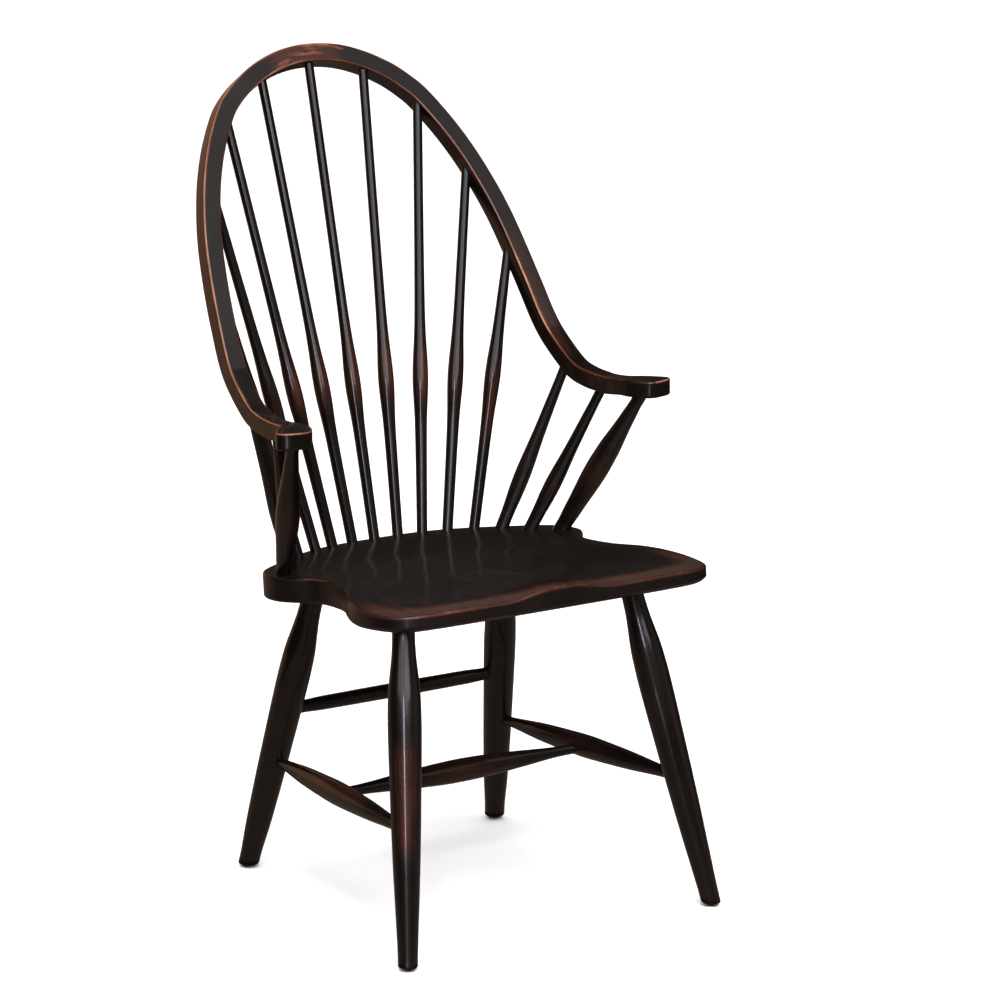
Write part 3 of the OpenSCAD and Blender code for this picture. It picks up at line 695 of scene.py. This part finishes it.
    # a rub in the saddle and grain that shows at the front left
    g = np.exp(-(((X + 4 + (Y + 28) * 0.11) / (8 + 0.05 * np.abs(Y + 88))) ** 2 + ((Y + 88) / 60) ** 2))
    thin += (K == 4) * 1.7 * g
    wear += (K == 4) * 0.10 * g
    g = np.exp(-(((X - 72 + (Y + 100) * 0.35) / 22) ** 2 + ((Y + 95) / 46) ** 2))
    thin += (K == 4) * 0.75 * g
    g = np.exp(-(((X + 188) / 26) ** 2 + ((Y + 146) / 30) ** 2))
    wear += (K == 4) * 0.16 * g * (1 + 1.6 * fbm(np.stack([X / 7, Y / 7, X * 0 + 4.4], -1), 33))
    thin += (K == 4) * 0.5 * g
    wood = np.stack([Y, X, flat[..., 2]], -1) / 1000 + np.array([0.3, 0.5, 0.2])
    return make("seat", "seat", R.reshape(-1, 3), faces, wood.reshape(-1, 3), wear.ravel(), thin.ravel(), uv, material="painted_seat", flat=50)


# ---- glides ----
def glide_piece(name, foot):
    prof = [(0.0, 0.0), (3.6, 0.0), (4.25, 0.18), (4.5, 0.7), (4.72, 1.5), (5.1, 2.5), (5.42, 3.4), (5.5, 4.0), (5.2, 4.3), (1.2, 4.3), (1.2, 14.0), (0.0, 14.0)]
    seg = 48
    th = np.arange(seg) / seg * 2 * math.pi
    rows = np.array([[[foot[0] + r * math.cos(a), foot[1] + r * math.sin(a), foot[2] - GLIDE + z] for a in th] for r, z in prof[1:-1]])
    n = len(rows)
    faces, uv = tube_faces(n, seg)
    loc = rows - np.array([foot[0], foot[1], 0])
    wood = loc.reshape(-1, 3) / 1000
    zero = np.zeros(n * seg)
    return make(name, "glides", rows.reshape(-1, 3), faces, wood, zero, zero, uv, material="glide_steel")


# ---- materials ----
MATERIALS = {}


class Tree:
    """Short names for making and joining shader nodes."""

    def __init__(self, name):
        self.mat = bpy.data.materials.new(name)
        self.mat.use_nodes = True
        self.t = self.mat.node_tree
        self.t.nodes.clear()
        self.out = self.t.nodes.new("ShaderNodeOutputMaterial")
        self.bsdf = self.t.nodes.new("ShaderNodeBsdfPrincipled")
        self.link(self.bsdf.outputs[0], self.out.inputs[0])

    def link(self, a, b):
        self.t.links.new(a, b)

    def new(self, kind, **props):
        n = self.t.nodes.new(kind)
        for k, v in props.items():
            setattr(n, k, v)
        return n

    def put(self, socket, value):
        if hasattr(value, "is_output"):
            self.link(value, socket)
        else:
            socket.default_value = value

    def attr(self, name):
        return self.new("ShaderNodeAttribute", attribute_name=name)

    def vec(self, a, by):
        n = self.new("ShaderNodeVectorMath", operation="MULTIPLY")
        self.put(n.inputs[0], a)
        n.inputs[1].default_value = by
        return n.outputs[0]

    def add(self, a, b):
        n = self.new("ShaderNodeVectorMath", operation="ADD")
        self.put(n.inputs[0], a)
        self.put(n.inputs[1], b)
        return n.outputs[0]

    def noise(self, v, by, detail=3.0, rough=0.55, warp=0.0):
        n = self.new("ShaderNodeTexNoise")
        self.put(n.inputs["Vector"], self.vec(v, by))
        n.inputs["Scale"].default_value = 1.0
        n.inputs["Detail"].default_value = detail
        n.inputs["Roughness"].default_value = rough
        n.inputs["Distortion"].default_value = warp
        return n.outputs[0]

    def math(self, op, a, b=0.0, clamp=False):
        n = self.new("ShaderNodeMath", operation=op, use_clamp=clamp)
        self.put(n.inputs[0], a)
        self.put(n.inputs[1], b)
        return n.outputs[0]

    def span(self, x, lo, hi, a=0.0, b=1.0, smooth=True):
        n = self.new("ShaderNodeMapRange", interpolation_type="SMOOTHSTEP" if smooth else "LINEAR")
        self.put(n.inputs["Value"], x)
        for s, v in (("From Min", lo), ("From Max", hi), ("To Min", a), ("To Max", b)):
            n.inputs[s].default_value = v
        return n.outputs[0]

    def mix(self, f, a, b, kind="MIX"):
        n = self.new("ShaderNodeMix", data_type="RGBA", blend_type=kind)
        self.put(n.inputs[0], f)
        self.put(n.inputs[6], a)
        self.put(n.inputs[7], b)
        return n.outputs[2]

    def ramp(self, x, stops):
        n = self.new("ShaderNodeValToRGB")
        self.put(n.inputs[0], x)
        e = n.color_ramp.elements
        while len(e) < len(stops):
            e.new(0.5)
        for el, (p, c) in zip(e, stops):
            el.position = p
            el.color = (*c, 1)
        return n.outputs[0]


def painted_wood(name, matt, matt_to, coat, coat_rough, shine=0.5):
    t = Tree(name)
    w = t.attr("wood").outputs["Vector"]
    wear = t.attr("wear").outputs["Fac"]
    thin = t.attr("thin").outputs["Fac"]
    streak = t.noise(w, (14, 520, 520), 4.0, 0.62, 0.15)      # fine streaks along the grain
    figure = t.noise(w, (5, 75, 75), 3.0, 0.5, 0.4)           # broad light and dark bands of the wood
    pores = t.noise(w, (160, 2300, 2300), 2.0, 0.5)
    blot = t.noise(w, (38, 60, 60), 4.0, 0.6, 0.2)            # where the rubbing bit
    cloud = t.noise(w, (9, 14, 14), 2.0, 0.5)
    # bare wood
    rough_edge = t.math("ADD", t.math("MULTIPLY", t.math("SUBTRACT", streak, 0.5), 0.75), t.math("MULTIPLY", t.math("SUBTRACT", blot, 0.5), 0.75))
    bare = t.span(t.math("ADD", wear, rough_edge), 0.40, 0.62)
    sheer = t.span(t.math("ADD", thin, t.math("MULTIPLY", rough_edge, 0.8)), 0.10, 1.05)
    grain = t.math("ADD", t.math("MULTIPLY", streak, 0.6), t.math("MULTIPLY", figure, 0.4))
    cherry = t.ramp(grain, [(0.30, (0.055, 0.012, 0.0055)), (0.46, (0.155, 0.032, 0.012)), (0.58, (0.280, 0.070, 0.026)), (0.72, (0.41, 0.135, 0.058))])
    stain = t.ramp(grain, [(0.32, (0.009, 0.0040, 0.0035)), (0.50, (0.028, 0.0100, 0.0065)), (0.70, (0.060, 0.020, 0.0110))])
    # the pale ramp is freshly bared wood and, on the most worn rounded edges, also a painted highlight: it is lighter
    # than bare cherry to stand for the glint along them
    pale = t.ramp(grain, [(0.32, (0.28, 0.095, 0.042)), (0.50, (0.50, 0.205, 0.110)), (0.68, (0.68, 0.35, 0.225))])
    raw_wood_and_highlight = t.span(t.math("ADD", wear, t.math("MULTIPLY", rough_edge, 0.8)), 0.80, 1.10)
    paint = t.mix(t.span(cloud, 0.35, 0.68), (0.0048, 0.0031, 0.0026, 1), (0.0080, 0.0047, 0.0037, 1))
    paint = t.mix(t.span(streak, 0.35, 0.75, 0.0, 0.35), paint, (0.0110, 0.0058, 0.0040, 1))
    mahogany = t.ramp(grain, [(0.32, (0.032, 0.0085, 0.0050)), (0.50, (0.068, 0.0170, 0.0088)), (0.70, (0.120, 0.034, 0.017))])
    deep = t.span(t.math("ADD", thin, t.math("MULTIPLY", rough_edge, 0.6)), 1.0, 1.8)
    handled = t.ramp(grain, [(0.30, (0.058, 0.029, 0.024)), (0.50, (0.084, 0.045, 0.038)), (0.72, (0.122, 0.068, 0.055))])
    bright = t.span(t.math("ADD", thin, t.math("MULTIPLY", rough_edge, 0.8)), 2.0, 3.0)
    colour = t.mix(sheer, paint, stain)
    colour = t.mix(deep, colour, mahogany)
    colour = t.mix(bright, colour, handled)
    colour = t.mix(bare, colour, cherry)
    # painted highlight together with the bared wood where the wear is strongest
    colour = t.mix(raw_wood_and_highlight, colour, pale)
    t.put(t.bsdf.inputs["Base Color"], colour)
    rough = t.math("ADD", t.span(cloud, 0.3, 0.7, matt, matt_to), t.math("MULTIPLY", t.math("SUBTRACT", streak, 0.5), 0.10))
    rough = t.math("ADD", rough, t.math("MULTIPLY", bare, 0.13))
    t.put(t.bsdf.inputs["Roughness"], rough)
    t.bsdf.inputs["IOR"].default_value = 1.5
    t.bsdf.inputs["Specular IOR Level"].default_value = shine
    t.bsdf.inputs["Coat Weight"].default_value = coat
    t.bsdf.inputs["Coat Roughness"].default_value = coat_rough
    # grain that shows through the paint, brush-out of the lacquer, and paint rubbed down to the wood
    h = t.math("ADD", t.math("MULTIPLY", streak, 0.35), t.math("MULTIPLY", pores, 0.16))
    h = t.math("ADD", h, t.math("MULTIPLY", bare, -0.55))
    h = t.math("ADD", h, t.math("MULTIPLY", blot, 0.22))
    b = t.new("ShaderNodeBump")
    b.inputs["Strength"].default_value = 0.30
    b.inputs["Distance"].default_value = 0.00008
    t.put(b.inputs["Height"], h)
    t.link(b.outputs[0], t.bsdf.inputs["Normal"])
    return t.mat


def glide_steel():
    t = Tree("glide_steel")
    w = t.attr("wood").outputs["Vector"]
    spot = t.noise(w, (900, 900, 900), 3.0, 0.6)
    turn = t.noise(w, (240, 240, 5200), 2.0, 0.5)
    t.put(t.bsdf.inputs["Base Color"], t.mix(t.span(spot, 0.35, 0.7), (0.30, 0.29, 0.285, 1), (0.17, 0.155, 0.145, 1)))
    t.put(t.bsdf.inputs["Roughness"], t.math("ADD", t.span(spot, 0.3, 0.7, 0.30, 0.48), t.math("MULTIPLY", t.math("SUBTRACT", turn, 0.5), 0.2)))
    t.bsdf.inputs["Metallic"].default_value = 1.0
    b = t.new("ShaderNodeBump")
    b.inputs["Strength"].default_value = 0.25
    b.inputs["Distance"].default_value = 0.00006
    t.put(b.inputs["Height"], t.math("ADD", turn, t.math("MULTIPLY", spot, 0.5)))
    t.link(b.outputs[0], t.bsdf.inputs["Normal"])
    return t.mat


MATERIALS["painted_wood"] = painted_wood("painted_wood", 0.25, 0.32, 0.6, 0.08)
# the thin rods have a harder, darker shine
MATERIALS["painted_rod"] = painted_wood("painted_rod", 0.22, 0.28, 0.72, 0.07, 0.30)
# the seat is rubbed by clothes, so its lacquer is a little duller
MATERIALS["painted_seat"] = painted_wood("painted_seat", 0.37, 0.44, 0.38, 0.16)
MATERIALS["glide_steel"] = glide_steel()


# ---- the pieces ----
seat_piece()
bow_piece()

RUBS = [0.3, 0.4, 0.65, 0.65, 1.0, 0.95, 0.9, 0.35, 0.8]
for i in range(1, 10):
    k, s = abs(i - 5), (-1 if i < 5 else 1)
    a = flip(on_rim(*BACK_SEAT[k]), s)
    b = flip(np.array(BACK_BOW[k], float), s)

    def rubbed(d, t, L, i=i):
        z0 = (SWELL - 475) * L / 560
        front = np.exp(-(np.angle(np.exp(1j * (t - (-0.05 if i < 9 else -0.3)))) / 0.80) ** 2)
        run = np.exp(-((d - z0 - 46) / (46 + 8 * (i % 3))) ** 2)
        return 0.26 * run * front * RUBS[i - 1] * (0.5 + fbm(np.stack([d / 16, t * 0.9, t * 0 + i], -1), i + 50)), 1.8 * run * front * RUBS[i - 1]

    turned(f"back_spindle_{i}", a, b, back_profile(a, b), 12, 0, 100 + i, seg=40, rub=0.45, worn=0.05, spot=rubbed, material="painted_rod")

for side, s in (("left", -1), ("right", 1)):
    for name, a, b in (("rear", REAR_A, REAR_B), ("front", FRONT_A, FRONT_B)):
        turned(f"arm_spindle_{side}_{name}", flip(a, s), flip(b, s), short_profile(float(np.linalg.norm(b - a))), 12, 0, 130 + s * 7 + len(name), seg=44,
               rub=0.55, worn=0.08)

    def post_rub(d, t, L, s=s):
        run = np.exp(-((d - 0.42 * L) / (0.11 * L)) ** 2) * (0.5 + 0.5 * np.cos(t + 0.3 * s))
        much = 0.25 if s < 0 else 1.0
        return much * 0.08 * run * (0.55 + fbm(np.stack([d / 20, t * 1.2, t * 0 + s], -1), 60)), 0.5 * run

    turned(f"arm_post_{side}", flip(POST_A, s), flip(POST_B, s), post_profile(float(np.linalg.norm(POST_B - POST_A))), 12, 2, 150 + s, seg=56,
           rub=0.5, worn=0.06, spot=post_rub)

    def front_rub(d, t, L, s=s):
        run = band(d, 146, 328, 46)
        turn_to = np.exp(-((np.angle(np.exp(1j * (t - (0.62 if s < 0 else 0.2))))) / 0.62) ** 2)
        much = 1.0 if s < 0 else 0.12
        return much * 0.33 * run * turn_to * (0.55 + 1.1 * fbm(np.stack([d / 26, t * 2.4, t * 0 + s], -1), 70)), much * 1.75 * run * turn_to

    L = float(np.linalg.norm(F_TOP - np.array(F_FOOT)))
    turned(f"leg_front_{side}", flip(F_TOP, s), flip(F_FOOT, s), leg_profile(L, LEG_FOOT), 10, 0, 160 + s, seg=72, rub=0.18, worn=0.03,
           spot=front_rub, foot=flip(F_FOOT, s))
    L = float(np.linalg.norm(B_TOP - np.array(B_FOOT)))
    turned(f"leg_back_{side}", flip(B_TOP, s), flip(B_FOOT, s), leg_profile(L, LEG_FOOT + 2), 10, 0, 170 + s, seg=72, rub=0.25, worn=0.04,
           foot=flip(B_FOOT, s))

    def side_rub(d, t, L, s=s):
        run = band(d, 0.28 * L, 0.78 * L, 0.14 * L) * (0.55 + 0.45 * np.cos(t + 1.0))
        much = 1.15 if s < 0 else 0.4
        return much * 0.33 * run * (0.6 + 0.9 * fbm(np.stack([d / 30, t * 1.3, t * 0 + s], -1), 80)), much * 1.65 * run

    L = float(np.linalg.norm(SIDE_F - SIDE_B))
    turned(f"stretcher_{side}", flip(SIDE_B, s), flip(SIDE_F, s), side_profile(L), 4, 4, 180 + s, seg=56, rub=0.4, worn=0.06, spot=side_rub)

    glide_piece(f"glide_front_{side}", flip(F_FOOT, s))
    glide_piece(f"glide_back_{side}", flip(B_FOOT, s))


def mid_rub(d, t, L):
    run = band(d, 0.25 * L, 0.8 * L, 0.15 * L) * (0.5 + 0.5 * np.cos(t))
    return 0.10 * run * (0.5 + fbm(np.stack([d / 30, t * 1.3, t * 0], -1), 90)), 0.85 * run


L = float(2 * MID_R[0])
turned("stretcher_middle", flip(MID_R, -1), MID_R, middle_profile(L), 2, 2, 190, seg=56, rub=0.4, worn=0.05, spot=mid_rub)
L = float(2 * REAR_R[0])
turned("stretcher_back", flip(REAR_R, -1), REAR_R, plain_profile(L), 4, 4, 191, seg=44, rub=0.2, worn=0.02)


# ---- camera, floor and light ----
scene = bpy.context.scene
cam = bpy.data.cameras.new("camera")
cam.sensor_width = 36.0
cam.lens = 4826.828 / 1007 * 36
cam.shift_x = -0.00065
cam.clip_start, cam.clip_end = 0.1, 100
cam_ob = bpy.data.objects.new("camera", cam)
scene.collection.objects.link(cam_ob)
right, up, back = Vector((0.840995, -0.5410429, -0.0000948)), Vector((0.1324867, 0.2057669, 0.9695913)), Vector((-0.524571, -0.815434, 0.2447299))
at = Vector((-3323.6594, -5264.4947 + Y_MID, 2105.151 + GLIDE)) / 1000
cam_ob.matrix_world = Matrix(((right.x, up.x, back.x, at.x), (right.y, up.y, back.y, at.y), (right.z, up.z, back.z, at.z), (0, 0, 0, 1)))
scene.camera = cam_ob

floor_me = bpy.data.meshes.new("floor")
floor_me.from_pydata([(-30, -30, 0), (30, -30, 0), (30, 30, 0), (-30, 30, 0)], [], [(0, 1, 2, 3)])
floor = bpy.data.objects.new("floor", floor_me)
scene.collection.objects.link(floor)
ft = Tree("floor")
ft.bsdf.inputs["Base Color"].default_value = (0.86, 0.86, 0.86, 1)
ft.bsdf.inputs["Roughness"].default_value = 0.9
ft.bsdf.inputs["Specular IOR Level"].default_value = 0.0
floor_me.materials.append(ft.mat)
floor.visible_diffuse = floor.visible_glossy = False

world = bpy.data.worlds.new("world")
scene.world = world
world.use_nodes = True
wt = world.node_tree
wt.nodes.clear()
wo = wt.nodes.new("ShaderNodeOutputWorld")
seen = wt.nodes.new("ShaderNodeBackground")
lit = wt.nodes.new("ShaderNodeBackground")
seen.inputs[0].default_value = (1, 1, 1, 1)
seen.inputs[1].default_value = 1.0
lit.inputs[0].default_value = (1.0, 0.82, 0.68, 1)
lit.inputs[1].default_value = 0.033
ray = wt.nodes.new("ShaderNodeLightPath")
choose = wt.nodes.new("ShaderNodeMixShader")
wt.links.new(ray.outputs["Is Camera Ray"], choose.inputs[0])
wt.links.new(lit.outputs[0], choose.inputs[1])
wt.links.new(seen.outputs[0], choose.inputs[2])
wt.links.new(choose.outputs[0], wo.inputs[0])


def area(name, place, aim_at, size, power, colour=(1, 1, 1)):
    li = bpy.data.lights.new(name, "AREA")
    li.shape = "RECTANGLE"
    li.size, li.size_y = size
    li.energy = power
    li.color = colour
    ob = bpy.data.objects.new(name, li)
    scene.collection.objects.link(ob)
    ob.location = place
    ob.rotation_mode = "QUATERNION"
    ob.rotation_quaternion = (Vector(aim_at) - Vector(place)).to_track_quat("-Z", "Y")
    return ob


# a light for the floor alone keeps it pale and even to the edge of the picture
sun = bpy.data.lights.new("floor_light", "SUN")
sun.energy, sun.angle = 4.5, math.radians(100)
sun_ob = bpy.data.objects.new("floor_light", sun)
scene.collection.objects.link(sun_ob)
floor_only = bpy.data.collections.new("floor_only")
floor_only.objects.link(floor)
sun_ob.light_linking.receiver_collection = floor_only

Z_MID = (0, 0, 0.50)
area("key", (-3.29, -4.40, 1.7), Z_MID, (0.45, 1.2), 26, (0.89, 0.88, 1.0))
area("wall_mid", (-2.71, -4.20, 2.75), (0, 0, 0.6), (3.2, 1.7), 22, (0.92, 0.89, 1.0))
area("wall_right", (-0.245, -5.0, 2.75), (0, 0, 0.6), (3.0, 1.7), 36, (0.96, 0.93, 0.96))
area("wall_left", (-4.53, -2.13, 2.75), (0, 0, 0.6), (3.0, 1.7), 22, (1.0, 0.95, 0.92))
area("soft_top", (-0.77, -2.11, 3.2), Z_MID, (2.4, 2.0), 84, (1.0, 0.98, 0.98))
area("front_top", (1.80, -1.90, 3.30), (0, 0, 0.8), (2.4, 2.5), 7.9, (1.0, 0.93, 0.91))
area("top", (0.0, 0.2, 3.4), Z_MID, (2.4, 2.4), 7, (1.0, 0.98, 0.96))
area("back_glow", (-0.3, 3.0, 0.85), (0, 0, 0.85), (3.4, 1.4), 5.3, (1.0, 0.50, 0.28))
area("right_front", (3.5, -3.0, 0.9), Z_MID, (3.5, 1.8), 3, (1.0, 0.80, 0.66))
area("back_right", (2.6, 4.1, 0.85), Z_MID, (3.0, 0.9), 0.06, (0.80, 0.88, 1.0))
# what the floor gives back: under and in front of the chair, behind it, and a streak towards the window
area("floor_near", (0, -0.2, 0.010), (0, -0.2, 1.0), (2.6, 2.7), 2.7, (1.0, 0.73, 0.58))
area("floor_back", (-0.9, 2.4, 0.012), (-0.9, 2.4, 1.0), (3.0, 2.2), 5.0, (1.0, 0.54, 0.32))
streak_light = area("floor_streak", (-1.95, -3.02, 0.014), (-1.95, -3.02, 1.0), (0.45, 2.6), 8.5, (0.92, 0.90, 1.0))
streak_light.rotation_mode = "XYZ"
streak_light.rotation_euler = (math.pi, 0, math.radians(-32.8))
for ob in scene.objects:
    if ob.type == "LIGHT":
        ob.visible_camera = False

scene.view_settings.view_transform = "Standard"
scene.view_settings.look = "None"
scene.view_settings.exposure = 0.0
scene.view_settings.gamma = 1.0
